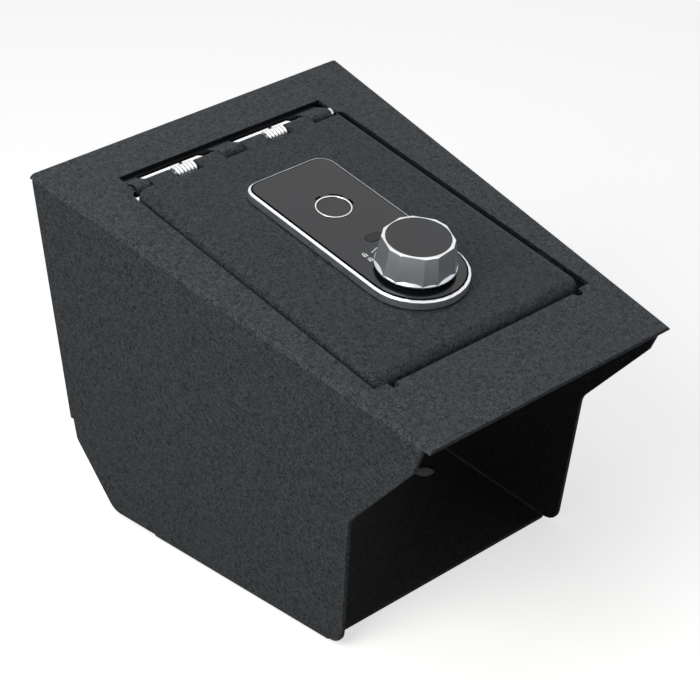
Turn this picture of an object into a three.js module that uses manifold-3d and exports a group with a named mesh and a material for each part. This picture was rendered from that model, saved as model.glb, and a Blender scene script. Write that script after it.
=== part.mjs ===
// Safe for a vehicle's centre console: a folded sheet-steel body, open to the front and the back,
// with a sloping top plate, a sprung drop-in lid and a knob lock with a fingerprint reader.
// Millimetres, +Z up, +Y to the hinge side; the origin is on the floor, under the middle of the body.

import * as THREE from 'three';
import { mergeVertices } from 'three/addons/utils/BufferGeometryUtils.js';
import Module from 'manifold-3d';

const wasm = await Module();
wasm.setup();

// Sheet metal and general fits
const sheet = 2.0; // body and lid steel
const bendRadius = 2.8; // outside of a fold
const seatGap = 0.3; // between pieces that touch
const runningGap = 0.15; // round a pin or spindle
const overcut = 1.0; // how far a cut runs past the face that it opens

// Lid opening, in the plate's own plan: x across, y along the slope from the plate's front tip
const openingHalf = 61.1;
const openingFront = 41.3;
const openingLength = 177.7;
const openingRear = openingFront + openingLength;
const rearHalf = openingHalf - 3.1; // between the hinge corners
const shoulder = openingRear - 12.4; // where the opening narrows to the hinge corners
const shoulderRun = 2.4;
const frontLipHalf = openingHalf - 10.9;
const frontLipDepth = 14;
const reliefRadius = 2.1;

// Body
const plateSlope = THREE.MathUtils.degToRad(10.43);
const rearStrip = 24; // plate behind the opening
const sideStrip = 10.9; // plate beside the opening's front corners
const plateLength = openingRear + rearStrip;
const frontHeight = 134.8; // floor's underside to the plate's front tip
const planTaper = 0.0793; // half width gained for each mm to the back
const wallLean = 0.0484; // half width gained for each mm upwards
const rearBulge = 2.7; // the walls' rear edges stand behind the plate's
const bodyDepth = plateLength * Math.cos(plateSlope) + rearBulge;
const floorFront = 73.7; // depths are taken from the front tip
const floorSetback = 52.5; // floor's rear edge from the rearmost line
const floorRear = bodyDepth - floorSetback;
const tabRadius = 8; // lower corners of the walls
const frontEdgeFoot = floorFront - 9.3; // where the wall's upright front edge would meet the floor
const mouthCorner = [floorFront - 22.5, 76.4]; // where the upright edge turns into the diagonal
const mouthTop = [11.0, frontHeight - 15.8]; // upper end of the diagonal
const mouthRadius = 10;
const plateOverhang = 3.6; // plate in front of the walls
const rearEdgeFoot = 47; // height where the folded rear edge ends
const rearLean = 4.1; // the rear edge's run between foot and plate
const chamferTop = rearEdgeFoot - 11.4; // rear lower chamfer
const chamferFoot = bodyDepth - 22.7;
const chamferRadius = 5;
const rearFlange = 22; // width of the walls' rear flanges
const foldClearance = 3; // between neighbouring folds
const rearLip = 12; // depth of the plate's rear lip
const rearLipInset = 6; // its ends to the walls' faces
const mountingHoleRadius = 5.25;
const mountingHoleInset = 21.9; // from the floor's edge
const mountingHoleSetback = 48.9; // from the floor's rear edge
const mountingHoleDepth = floorRear - mountingHoleSetback;

// Hinge
const lidRise = 1.8; // lid's top face above the plate
const barrelRadius = 3.25;
const pinRadius = 1.6;
const hingeAlong = openingRear - 10.6;
const hingeHeight = lidRise - barrelRadius;
const leafSheet = 1.5;
const leafReach = rearStrip - 6; // leaf under the plate, behind the opening
const leafBend = openingRear - 1.3; // leaf's front edge, where the knuckles' straps rise
const strapRoot = [5, 1.8]; // widening at the foot of a strap, across and forward
const curlSeam = 0.35; // slit where the curled strap comes round to itself
const knuckleGap = 0.4;
const rowGapLeft = 0.5; // row to the opening's hinge corners
const rowGapRight = 3.1;
const pinHeadRadius = 2.8;
const pinHeadLength = 1.4;
const hingeRow = [
  ['frame', 7.6], ['lid', 12.5], ['spring', 13.5], ['lid', 12.5], ['frame', 12.4],
  ['lid', 12.4], ['spring', 13.3], ['lid', 12.4], ['frame', 12.6],
];
const tailChamfer = 2; // corners of the lid's knuckles beside the springs
const wireRadius = 0.7;
const coilRadius = 2.95;
const coilTurns = 6;
const springLeg = 12;

// Lid
const lidGap = 2.2; // to the opening's sides
const lidFrontGap = 1.0; // to the front lip
const lidRoll = 5; // outside radius of the rolled edge
const lidRim = 7.8; // depth of the rim from the lid's top
const lidFrontCorner = 6.5;
const lidRearCorner = 2;
const notchGap = 2.9; // lid sheet to the frame's knuckles and the springs
const cornerNotchGap = 1.5; // lid sheet to the first knuckle
const earLength = 3; // lid's corner beside the last knuckle
const cableHole = [14, 7]; // for the wires between panel and board

// Lid stops
const stopWidth = 16;
const stopAlong = openingFront + 24.7;
const stopReach = 4.6; // shelf inside the opening's edge
const stopGap = 1.5; // shelf's wall outside the opening's edge
const stopFlange = 9; // reach of the welded flange outside the opening's edge
const bumperThickness = 1.4;

// Lock: heights are taken from the lid's top face
const lockHalf = 23.9;
const lockCorner = 8;
const knobSetback = 44.7; // knob's axis behind the opening's front edge
const knobAlong = openingFront + knobSetback;
const gasketThickness = 0.7;
const gasketInset = 0.7;
const gasketBand = 2.4;
const bezelHeight = 5.0;
const bezelBevel = 1.2;
const bezelRim = 1.1; // rim round the panel
const panelHeight = 5.2;
const panelThickness = 1.2;
const panelGap = 0.2;
const panelMargin = 0.6; // groove between rim and panel
const readerAlong = knobAlong + 53.7;
const readerRadius = 8.3;
const readerRing = 0.7;
const readerDepth = 3.8; // below the panel's face
const portAlong = knobAlong + 26.5;
const portLength = 8.8;
const portWidth = 5;

// Knob and spindle
const knobRadius = 17.9; // over the corners at the foot
const knobTopRadius = 15.8;
const knobHeight = 20.9; // above the lid's top face
const knobLift = 1.6; // above the panel
const knobBevel = 0.4; // top edge
const knobFootRing = 1.0; // height of the round edge under the flats
const knobBore = 5; // metal above the spindle
const capRadius = 14.2;
const capThickness = 1.1;
const flatAngle = 38; // wide flats; the narrow ones between them fill the rest
const flatCount = 6;
const flatStart = 20;
const seatRingRadius = 16.2;
const spindleRadius = 4;
const bushWall = 3;
const squareSize = 6.4;
const clipGroove = 0.7; // depth of the clip's groove in the spindle
const clipThickness = 0.8;
const clipWidth = 2.6;

// Lock case under the lid
const caseInset = 1.2; // inside the bezel's outline
const caseDepth = 20;
const caseWall = 2;
const caseFloor = 2.5;
const postRadius = 3.9;
const screwRadius = 1.8;
const screwHeadRadius = 3.2;
const screwHeadHeight = 2.2;
const screwSlack = 0.4;
const screwEngagement = 2.7; // into the bezel, above the lid
const screwAcross = lockHalf - 5.5;
const screwSetback = 14; // front screws behind the knob's axis
const screwInset = 9; // rear screws from the lock's rear end
const doorThickness = 1.6;
const doorEdge = 0.8; // the door's runners in the case's grooves
const boardThickness = 1.4;

// Latch
const tongueOverlap = 5.3; // tip beyond the opening's front edge
const tongueLength = knobSetback + tongueOverlap;
const tongueWidth = 16;
const tongueSheet = 3;
const tongueScrewRadius = 1.4;
const collarRadius = 10;
const collarThickness = 5;
const collarDrop = 11; // its middle below the plate's top face
const notchDepth = 3;
const pinDiameter = 3.6;
const pinTravel = 2.6;
const pinInside = 11; // length of the pin in the solenoid
const solenoidLength = 15;
const solenoidWidth = 11;
const solenoidHeight = 9;

// Batteries
const cellRadius = 5.25;
const cellLength = 44.5;
const cellNub = [1.9, 1.2]; // radius and length of the positive end
const cellSpacing = 11.2;
const bayWall = 1.4;
const bayEnd = 1.4; // for a contact, at either end of the cells
const contactThickness = 0.5;
const lockTail = 10.5; // lock behind the battery bay

// Values that follow from the ones above
const frontHalfWidth = openingHalf + sideStrip - planTaper * openingFront * Math.cos(plateSlope)
  - wallLean * (frontHeight + openingFront * Math.sin(plateSlope));
const mountingHoleAcross = frontHalfWidth + planTaper * mountingHoleDepth - mountingHoleInset;
const lidTop = lidRise;
const lidUnder = lidTop - sheet;
const lidRimFoot = lidTop - lidRim;
const lidHalf = openingHalf - lidGap;
const lidFront = openingFront + lidFrontGap;
const notchEdge = hingeAlong - barrelRadius - notchGap;
const leafTop = -sheet - seatGap;
const leafBottom = leafTop - leafSheet;
const boreRadius = pinRadius + runningGap;
const bezelFoot = lidTop + gasketThickness + 2 * seatGap;
const panelTop = lidTop + panelHeight;
const panelUnder = panelTop - panelThickness;
const readerFoot = panelTop - readerDepth;
const knobFoot = panelTop + knobLift;
const knobTop = lidTop + knobHeight;
const bushRadius = spindleRadius + bushWall;
const caseTop = lidUnder - seatGap;
const caseBottom = caseTop - caseDepth;
const caseInside = caseBottom + caseFloor;
const tongueTop = caseBottom - seatGap;
const tongueBottom = tongueTop - tongueSheet;
const collarMiddle = -collarDrop;
const bushFoot = caseTop - overcut;
const clipLow = bushFoot - seatGap - clipThickness;
const pinTip = knobAlong + collarRadius + 2 * seatGap;
const solenoidFront = pinTip + pinTravel + 2 * seatGap;
const solenoidRear = solenoidFront + solenoidLength;
const cellStart = solenoidRear + 3.8;
const cellMiddle = caseInside + cellRadius + seatGap;
const bayHalf = cellSpacing / 2 + cellRadius + seatGap;
const bayFront = cellStart - bayEnd;
const bayRear = cellStart + cellLength + bayEnd;
const lockRear = bayRear + lockTail;
const screwAlong = [knobAlong + screwSetback, lockRear - screwInset];
const bayTop = cellMiddle + cellRadius + 2 * seatGap;

const roundSteps = 28;
const xAxis = new THREE.Vector3(1, 0, 0);
const yAxis = new THREE.Vector3(0, 1, 0);
const zAxis = new THREE.Vector3(0, 0, 1);
const plateFrame = new THREE.Matrix4().makeRotationX(plateSlope).setPosition(0, 0, frontHeight);

// Outlines

// Corners are [x, y, radius]; a corner with a radius becomes an arc.
function rounded(corners, steps = 4) {
  const points = [];
  corners.forEach(([x, y, radius = 0], i) => {
    const corner = new THREE.Vector2(x, y);
    if (radius <= 0) {
      points.push(corner);
      return;
    }
    const before = new THREE.Vector2(...corners.at(i - 1)).sub(corner).normalize();
    const after = new THREE.Vector2(...corners[(i + 1) % corners.length]).sub(corner).normalize();
    const half = Math.acos(before.dot(after)) / 2;
    const middle = before.clone().add(after).normalize().multiplyScalar(radius / Math.sin(half));
    const centre = corner.clone().add(middle);
    const start = corner.clone().addScaledVector(before, radius / Math.tan(half)).sub(centre);
    const turn = Math.PI - 2 * half;
    const way = Math.sign(after.cross(before));
    for (let k = 0; k <= steps; k += 1) {
      const arm = start.clone().rotateAround(new THREE.Vector2(), (way * turn * k) / steps);
      points.push(arm.add(centre));
    }
  });
  return points;
}

function box2(left, right, low, high, radius = 0) {
  return rounded([[left, low, radius], [right, low, radius], [right, high, radius], [left, high, radius]]);
}

function circle(radius, x = 0, y = 0, steps = roundSteps) {
  return Array.from({ length: steps }, (_, i) => {
    const angle = (2 * Math.PI * i) / steps;
    return new THREE.Vector2(x + radius * Math.cos(angle), y + radius * Math.sin(angle));
  });
}

// Lock outline: straight sides, a half circle round the knob at the front.
function lockOutline(inset) {
  const half = lockHalf - inset;
  const rear = lockRear - inset;
  const corner = lockCorner - inset;
  const ends = [[half, knobAlong], [half, rear, corner], [-half, rear, corner], [-half, knobAlong]];
  const front = Array.from({ length: 17 }, (_, i) => {
    const angle = Math.PI + (Math.PI * i) / 16;
    return new THREE.Vector2(half * Math.cos(angle), knobAlong + half * Math.sin(angle));
  });
  return [...rounded(ends, 6).slice(1, -1), ...front];
}

function pill(length, width, y, grow = 0) {
  const radius = width / 2 + grow;
  return rounded(
    [
      [-length / 2 - grow, y - radius, radius * 0.99],
      [length / 2 + grow, y - radius, radius * 0.99],
      [length / 2 + grow, y + radius, radius * 0.99],
      [-length / 2 - grow, y + radius, radius * 0.99],
    ],
    5,
  );
}

// Solids

// A closed geometry as a solid that faces out, whichever way its outline was drawn.
function solidOf(geometry) {
  const bare = geometry.clone();
  bare.deleteAttribute('normal');
  bare.deleteAttribute('uv');
  const merged = mergeVertices(bare, 1e-4);
  const source = merged.index.array;
  const triangles = [];
  for (let i = 0; i < source.length; i += 3) {
    const [a, b, c] = [source[i], source[i + 1], source[i + 2]];
    if (a !== b && b !== c && a !== c) triangles.push(a, b, c);
  }
  const points = Array.from({ length: merged.attributes.position.count }, (_, i) =>
    new THREE.Vector3().fromBufferAttribute(merged.attributes.position, i));
  let volume = 0;
  for (let i = 0; i < triangles.length; i += 3) {
    const [a, b, c] = triangles.slice(i, i + 3).map((k) => points[k]);
    volume += a.dot(b.clone().cross(c));
  }
  if (volume < 0) triangles.reverse();
  return new wasm.Manifold(new wasm.Mesh({
    numProp: 3,
    vertProperties: Float32Array.from(merged.attributes.position.array),
    triVerts: Uint32Array.from(triangles),
  }));
}

function swept(outline, length, basis, origin) {
  const shape = new THREE.Shape(outline);
  const geometry = new THREE.ExtrudeGeometry(shape, { depth: length, bevelEnabled: false });
  return solidOf(geometry.applyMatrix4(basis.clone().setPosition(origin)));
}

// An outline in (y, z), swept across the width.
function sweepAcross(outline, from, to) {
  const basis = new THREE.Matrix4().makeBasis(yAxis, zAxis, xAxis);
  return swept(outline, to - from, basis, new THREE.Vector3(from, 0, 0));
}

// An outline in plan, swept upwards.
function sweepUp(outline, from, to) {
  return swept(outline, to - from, new THREE.Matrix4(), new THREE.Vector3(0, 0, from));
}

// An outline in (x, z), swept from back to front.
function sweepForward(outline, from, to) {
  const basis = new THREE.Matrix4().makeBasis(xAxis, zAxis, yAxis.clone().negate());
  return swept(outline, from - to, basis, new THREE.Vector3(0, from, 0));
}

// A profile of [radius, height] turned about the upright line through (x, y).
function turned(profile, x, y, steps = roundSteps) {
  const points = profile.map(([radius, height]) => new THREE.Vector2(radius, height));
  const geometry = new THREE.LatheGeometry(points, steps);
  return solidOf(geometry.rotateX(Math.PI / 2).translate(x, y, 0));
}

function rod(radius, from, to, x, y, steps) {
  return turned([[0, from], [radius, from], [radius, to], [0, to]], x, y, steps);
}

// Skins a row of closed sections that have the same number of points.
function loft(sections) {
  const count = sections[0].length;
  const level = sections[0].every(({ z }) => z === sections[0][0].z);
  const flat = sections[0].map(({ x, y, z }) => new THREE.Vector2(x, level ? y : z));
  const caps = THREE.ShapeUtils.triangulateShape(flat, []);
  const last = (sections.length - 1) * count;
  const index = [];
  for (let k = 0; k < sections.length - 1; k += 1) {
    for (let i = 0; i < count; i += 1) {
      const a = k * count + i;
      const b = k * count + ((i + 1) % count);
      index.push(a, b, b + count, a, b + count, a + count);
    }
  }
  caps.forEach(([a, b, c]) => index.push(c, b, a, last + a, last + b, last + c));
  const geometry = new THREE.BufferGeometry().setFromPoints(sections.flat());
  return solidOf(geometry.setIndex(index));
}

// A round wire along points, closed by flat ends.
function wire(points, radius, sides = 5) {
  const rings = [];
  let normal = new THREE.Vector3();
  points.forEach((point, i) => {
    const ahead = points[Math.min(i + 1, points.length - 1)];
    const behind = points[Math.max(i - 1, 0)];
    const tangent = ahead.clone().sub(behind).normalize();
    if (i === 0) normal = Math.abs(tangent.x) < 0.9 ? xAxis.clone() : zAxis.clone();
    normal.addScaledVector(tangent, -normal.dot(tangent)).normalize();
    const side = tangent.clone().cross(normal);
    rings.push(Array.from({ length: sides }, (_, k) => {
      const angle = (2 * Math.PI * k) / sides;
      return point.clone().addScaledVector(normal, radius * Math.cos(angle))
        .addScaledVector(side, radius * Math.sin(angle));
    }));
  });
  const index = [];
  for (let k = 0; k < rings.length - 1; k += 1) {
    for (let i = 0; i < sides; i += 1) {
      const a = k * sides + i;
      const b = k * sides + ((i + 1) % sides);
      index.push(a, b, b + sides, a, b + sides, a + sides);
    }
  }
  const last = (rings.length - 1) * sides;
  for (let i = 1; i < sides - 1; i += 1) index.push(0, i + 1, i, last, last + i, last + i + 1);
  const geometry = new THREE.BufferGeometry().setFromPoints(rings.flat());
  return solidOf(geometry.setIndex(index));
}

function onPlate(solid) {
  return solid.transform(plateFrame.elements);
}

// Body

function plateHeight(depth) {
  return frontHeight + depth * Math.tan(plateSlope);
}

function halfWidth(depth, height) {
  return frontHalfWidth + depth * planTaper + height * wallLean;
}

const wallSlant = Math.hypot(1, planTaper, wallLean);

// Cross-section of the folded tube at a depth, drawn in by an inset that may differ at the sides.
function tubeSection(depth, inset, sideInset = inset) {
  const low = inset;
  const high = plateHeight(depth) - inset / Math.cos(plateSlope);
  const radius = Math.max(bendRadius - inset, seatGap);
  const lowHalf = halfWidth(depth, low) - sideInset * wallSlant;
  const highHalf = halfWidth(depth, high) - sideInset * wallSlant;
  const corners = [
    [-lowHalf, low, radius], [lowHalf, low, radius], [highHalf, high, radius], [-highHalf, high, radius],
  ];
  const steps = inset < sheet ? 4 : 1;
  return rounded(corners, steps).map(({ x, y }) => new THREE.Vector3(x, depth, y));
}

// The inner block is longer than the outer one, so that it opens both ends of the tube.
function tubeBlock(inset) {
  const reach = sideStrip + 10 * inset;
  return loft([tubeSection(-reach, inset), tubeSection(bodyDepth + reach, inset)]);
}

// Side view of the body: the plate, the walls' open front, the relief notches and the rear edge.
function sideOutline() {
  const cos = Math.cos(plateSlope);
  const sin = Math.sin(plateSlope);
  const above = 3 * sheet;
  const plateRear = [plateLength * cos, plateHeight(plateLength * cos)];
  const relief = sheet + seatGap;
  const wallStart = plateOverhang * cos + sheet * sin;
  const edgeFoot = bodyDepth - sheet;
  const rearTop = bodyDepth - rearLean;
  return rounded([
    [-above * sin, frontHeight + above * cos],
    [sheet * sin, frontHeight - sheet * cos],
    [wallStart, plateHeight(wallStart) - sheet / cos],
    [...mouthTop],
    [...mouthCorner, mouthRadius],
    [frontEdgeFoot, relief, tabRadius],
    [floorFront, relief],
    [floorFront, 0],
    [floorRear, 0],
    [floorRear, relief],
    [chamferFoot, relief, tabRadius],
    [edgeFoot - runningGap, chamferTop, chamferRadius],
    [edgeFoot, rearEdgeFoot],
    [bodyDepth, rearEdgeFoot],
    [rearTop, plateHeight(rearTop) - sheet / cos],
    [plateRear[0] + sheet * sin, plateRear[1] - sheet * cos],
    [plateRear[0] - above * sin, plateRear[1] + above * cos],
  ]);
}

// The walls' rear flanges stop short of the plate, so that the two folds stay clear of each other.
function rearFlanges(outer) {
  const rearTop = bodyDepth - rearLean;
  const foot = new THREE.Vector2(bodyDepth, rearEdgeFoot);
  const head = new THREE.Vector2(rearTop, plateHeight(rearTop) - sheet / Math.cos(plateSlope));
  head.lerp(foot, foldClearance / head.distanceTo(foot));
  const inwards = new THREE.Vector2(-sheet, 0);
  const strip = [foot, head, head.clone().add(inwards), foot.clone().add(inwards)];
  const between = [head.x - rearFlange, bodyDepth + rearFlange];
  const middle = loft(between.map((depth) => tubeSection(depth, -rearFlange, sheet + rearFlange)));
  return sweepAcross(strip, -bodyDepth, bodyDepth).intersect(outer).subtract(middle);
}

function rearPlateLip() {
  const half = halfWidth(bodyDepth, plateHeight(bodyDepth) - rearLip) - rearLipInset;
  const outline = box2(plateLength - sheet, plateLength, -rearLip, -sheet / 2);
  return onPlate(sweepAcross(outline, -half, half));
}

// The front lip is folded down between two relief slots.
function frontLip() {
  const outline = rounded([
    [openingFront - bendRadius - seatGap, 0],
    [openingFront, 0, bendRadius],
    [openingFront, -frontLipDepth],
    [openingFront - sheet, -frontLipDepth],
    [openingFront - sheet, -sheet],
    [openingFront - bendRadius - seatGap, -sheet],
  ]);
  return onPlate(sweepAcross(outline, -frontLipHalf, frontLipHalf));
}

function lidOpening() {
  const side = (sign) => [
    [sign * openingHalf, openingFront],
    [sign * openingHalf, shoulder - shoulderRun, 1.5 * sheet],
    [sign * rearHalf, shoulder],
    [sign * rearHalf, openingRear],
  ];
  const outline = rounded([...side(1), ...side(-1).reverse()]);
  const low = -4 * sheet;
  const high = 4 * sheet;
  const reliefMiddle = frontLipHalf + reliefRadius;
  const past = openingFront + overcut;
  const foldLine = box2(-reliefMiddle, reliefMiddle, openingFront - bendRadius, past);
  let hole = sweepUp(outline, low, high).add(sweepUp(foldLine, low, high));
  for (const sign of [-1, 1]) {
    const x = sign * reliefMiddle;
    const slot = box2(x - reliefRadius, x + reliefRadius, openingFront - reliefRadius, past);
    hole = hole.add(sweepUp(slot, low, high));
    hole = hole.add(rod(reliefRadius, low, high, x, openingFront - reliefRadius, 16));
  }
  return onPlate(hole);
}

function bodyShell() {
  const outer = tubeBlock(0);
  let shell = outer.subtract(tubeBlock(sheet));
  shell = shell.intersect(sweepAcross(sideOutline(), -bodyDepth, bodyDepth));
  shell = shell.add(rearFlanges(outer)).add(rearPlateLip());
  shell = shell.subtract(lidOpening()).add(frontLip());
  for (const sign of [-1, 1]) {
    const x = sign * mountingHoleAcross;
    shell = shell.subtract(rod(mountingHoleRadius, -sheet, 2 * sheet, x, mountingHoleDepth));
  }
  return shell;
}

// Hinge: the knuckles and springs stand in a row from left to right

function knuckleRow() {
  const room = 2 * rearHalf - rowGapLeft - rowGapRight - (hingeRow.length - 1) * knuckleGap;
  const fit = room / hingeRow.reduce((sum, [, width]) => sum + width, 0);
  let from = rowGapLeft - rearHalf;
  return hingeRow.map(([kind, width]) => {
    const place = { kind, from, to: from + width * fit };
    from = place.to + knuckleGap;
    return place;
  });
}

const knuckles = knuckleRow();
const rowStart = knuckles[0].from;
const rowEnd = knuckles.at(-1).to;

function barrel(from, to) {
  const ring = sweepAcross(circle(barrelRadius, hingeAlong, hingeHeight, 24), from, to);
  return ring.subtract(hingeBore(from, to));
}

function hingeBore(from, to) {
  return sweepAcross(circle(boreRadius, hingeAlong, hingeHeight, 20), from - overcut, to + overcut);
}

// The strap leaves the leaf under the plate, rises over the pin and curls round it.
function curledStrap(from, to) {
  const centre = new THREE.Vector2(hingeAlong, hingeHeight);
  const foot = new THREE.Vector2(leafBend, leafTop);
  const arm = foot.clone().sub(centre);
  const lean = arm.angle() + Math.acos(barrelRadius / arm.length());
  const across = new THREE.Vector2(Math.cos(lean), Math.sin(lean));
  const tangent = centre.clone().addScaledVector(across, barrelRadius);
  const inner = centre.clone().addScaledVector(across, barrelRadius - leafSheet);
  const innerFoot = foot.clone().addScaledVector(across, -leafSheet);
  const seamFoot = innerFoot.clone().addScaledVector(across, -curlSeam);
  const seamTop = inner.clone().addScaledVector(across, -curlSeam);
  const rest = openingRear + overcut;
  const strap = [
    tangent, foot, new THREE.Vector2(rest, leafTop), new THREE.Vector2(rest, leafBottom), innerFoot, inner,
  ];
  const ring = sweepAcross(circle(barrelRadius, hingeAlong, hingeHeight, 24), from, to);
  const seam = sweepAcross([inner, innerFoot, seamFoot, seamTop], from - overcut, to + overcut);
  return ring.subtract(seam).add(sweepAcross(strap, from, to)).subtract(hingeBore(from, to));
}

function hingeLeaf() {
  const [across, forward] = strapRoot;
  let leaf = sweepAcross(box2(leafBend, openingRear + leafReach, leafBottom, leafTop), rowStart, rowEnd);
  for (const { kind, from, to } of knuckles) {
    if (kind !== 'frame') continue;
    leaf = leaf.add(curledStrap(from, to));
    const start = from - across;
    const root = rounded([
      [start, leafBend + overcut], [start, leafBend], [start + forward, leafBend - forward],
      [from + overcut, leafBend - forward], [from + overcut, leafBend + overcut],
    ]);
    if (from > rowStart) leaf = leaf.add(sweepUp(root, leafBottom, leafTop));
  }
  return leaf;
}

function hingePin() {
  const seat = rowEnd + seatGap;
  const shank = sweepAcross(circle(pinRadius, hingeAlong, hingeHeight, 20), rowStart, seat + seatGap);
  const head = sweepAcross(circle(pinHeadRadius, hingeAlong, hingeHeight, 24), seat, seat + pinHeadLength);
  return shank.add(head);
}

// Torsion spring: a leg under the lid, the coil on the pin, a leg under the frame's leaf.
function springPoints({ from, to }) {
  const start = from + wireRadius + seatGap;
  const end = to - wireRadius - seatGap;
  const frameSeat = leafBottom - seatGap - wireRadius;
  const lidSeat = lidUnder - seatGap - wireRadius;
  const legEnd = hingeAlong - springLeg;
  const points = [
    new THREE.Vector3(start, legEnd - 2 * wireRadius, lidSeat),
    new THREE.Vector3(start, legEnd, lidSeat),
    new THREE.Vector3(start, hingeAlong - springLeg * 0.6, (hingeHeight - coilRadius + lidSeat) / 2),
  ];
  const steps = coilTurns * 8;
  for (let i = 0; i <= steps; i += 1) {
    const angle = (i * Math.PI) / 4 - Math.PI / 2;
    points.push(new THREE.Vector3(
      start + ((end - start) * i) / steps,
      hingeAlong + coilRadius * Math.cos(angle),
      hingeHeight + coilRadius * Math.sin(angle),
    ));
  }
  points.push(new THREE.Vector3(end, openingRear, frameSeat));
  points.push(new THREE.Vector3(end, openingRear + springLeg / 4, frameSeat));
  return points;
}

// Least clear distance between turns of the wire, on the points of its centre line.
function wireClearance(points) {
  let least = Infinity;
  points.forEach((a, i) => points.slice(i + 5).forEach((b) => {
    least = Math.min(least, a.distanceTo(b) - 2 * wireRadius);
  }));
  return least;
}

// Lid

function rolledBlock(inset) {
  const roll = lidRoll - inset;
  const half = lidHalf - lidRoll;
  const corner = lidFrontCorner - lidRoll;
  const shape = new THREE.Shape(rounded([
    [-half, lidFront + lidRoll, corner], [half, lidFront + lidRoll, corner],
    [half, openingRear + lidRim], [-half, openingRear + lidRim],
  ]));
  const straight = 2 * lidRim;
  const geometry = new THREE.ExtrudeGeometry(shape, {
    depth: straight, bevelSize: roll, bevelThickness: roll, bevelSegments: 4,
  });
  return solidOf(geometry.translate(0, 0, lidTop - inset - roll - straight));
}

// The lid's plan: a rear edge that steps back at the first knuckle, with an ear beside the last one.
function lidPlan() {
  const side = lidHalf + overcut;
  const rear = notchEdge + earLength;
  const ear = rowEnd + seatGap + pinHeadLength + knuckleGap;
  const step = knuckles[0].to + knuckleGap;
  const cornerEdge = hingeAlong - barrelRadius - cornerNotchGap;
  const outline = rounded([
    [-side, lidFront - overcut], [side, lidFront - overcut], [side, rear - 2 * lidRearCorner],
    [lidHalf, rear - 2 * lidRearCorner], [lidHalf, rear, lidRearCorner / 2], [ear, rear, knuckleGap],
    [ear, notchEdge], [step, notchEdge], [step, cornerEdge], [-lidHalf, cornerEdge, lidRearCorner],
    [-lidHalf, cornerEdge - 2 * lidRearCorner], [-side, cornerEdge - 2 * lidRearCorner],
  ]);
  return sweepUp(outline, lidRimFoot, lidTop + overcut);
}

// A tail of the lid's sheet runs over the pin and curls down round it. Its corner beside a spring is cut.
function lidKnuckle({ from, to }, besideSpring) {
  const rear = hingeAlong + barrelRadius + overcut;
  const tail = sweepAcross(box2(notchEdge - overcut, hingeAlong, lidUnder, lidTop), from, to);
  const knuckle = tail.add(barrel(from, to));
  if (!besideSpring) return knuckle;
  const cut = to - tailChamfer;
  const side = to + overcut;
  const corner = rounded([[side, rear - tailChamfer - 2 * overcut], [side, rear], [cut, rear]]);
  return knuckle.subtract(sweepUp(corner, lidRimFoot, lidTop + overcut));
}

function lidPan() {
  let lid = rolledBlock(0).subtract(rolledBlock(sheet)).intersect(lidPlan());
  knuckles.forEach((place, i) => {
    if (place.kind !== 'lid') return;
    lid = lid.add(lidKnuckle(place, knuckles[i + 1].kind === 'spring'));
    lid = lid.subtract(hingeBore(place.from, place.to));
  });
  const low = lidUnder - overcut;
  const high = lidTop + overcut;
  const [holeLength, holeWidth] = cableHole;
  lid = lid.subtract(rod(bushRadius + 2 * runningGap, low, high, 0, knobAlong));
  lid = lid.subtract(sweepUp(pill(holeLength, holeWidth, (portAlong + readerAlong) / 2), low, high));
  for (const [x, y] of screwPlaces()) {
    lid = lid.subtract(rod(screwRadius + screwSlack, low, high, x, y, 16));
  }
  return lid;
}

// Lid stops: bent tabs under the side strips, each with a rubber bumper under the lid's rim

function lidStop(sign) {
  const shelf = lidRimFoot - 2 * seatGap - bumperThickness;
  const top = -sheet - seatGap;
  const outer = openingHalf + stopFlange;
  const inner = openingHalf - stopReach;
  const wall = openingHalf + stopGap;
  const outline = rounded([
    [inner, shelf], [inner, shelf - sheet], [wall + sheet, shelf - sheet, sheet],
    [wall + sheet, top - sheet, sheet / 3], [outer, top - sheet], [outer, top], [wall, top, sheet],
    [wall, shelf, sheet / 3],
  ]).map(({ x, y }) => new THREE.Vector2(sign * x, y));
  return sweepForward(outline, stopAlong + stopWidth / 2, stopAlong - stopWidth / 2);
}

function lidBumper(sign) {
  const high = lidRimFoot - seatGap;
  const x = sign * (openingHalf - stopReach / 2 - runningGap);
  const half = stopReach / 2 - 2 * runningGap;
  const reach = stopWidth / 2 - overcut;
  const outline = box2(x - half, x + half, stopAlong - reach, stopAlong + reach, half / 2);
  return sweepUp(outline, high - bumperThickness, high);
}

// Lock, outside

function raised(outline, height) {
  return outline.map(({ x, y }) => new THREE.Vector3(x, y, height));
}

function bezelGasket() {
  const low = lidTop + seatGap;
  const high = low + gasketThickness;
  const outer = sweepUp(lockOutline(gasketInset), low, high);
  return outer.subtract(sweepUp(lockOutline(gasketInset + gasketBand), low - overcut, high + overcut));
}

function lockBezel() {
  const top = lidTop + bezelHeight;
  const cut = top + overcut;
  const low = bezelFoot - overcut;
  let bezel = loft([
    raised(lockOutline(0), bezelFoot),
    raised(lockOutline(0), top - bezelBevel),
    raised(lockOutline(bezelBevel * 0.3), top - bezelBevel * 0.45),
    raised(lockOutline(bezelBevel * 0.85), top),
  ]);
  bezel = bezel.subtract(sweepUp(lockOutline(bezelRim), panelUnder - seatGap, cut));
  bezel = bezel.subtract(rod(bushRadius + runningGap, low, cut, 0, knobAlong));
  const pocket = readerFoot - seatGap;
  bezel = bezel.subtract(rod(readerRadius + panelGap, pocket, cut, 0, readerAlong));
  bezel = bezel.subtract(sweepUp(pill(portLength, portWidth, portAlong, panelGap), pocket, cut));
  const holeTop = lidTop + screwEngagement + panelGap;
  for (const [x, y] of screwPlaces()) {
    bezel = bezel.subtract(rod(screwRadius + runningGap, low, holeTop, x, y, 16));
  }
  return bezel;
}

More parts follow.
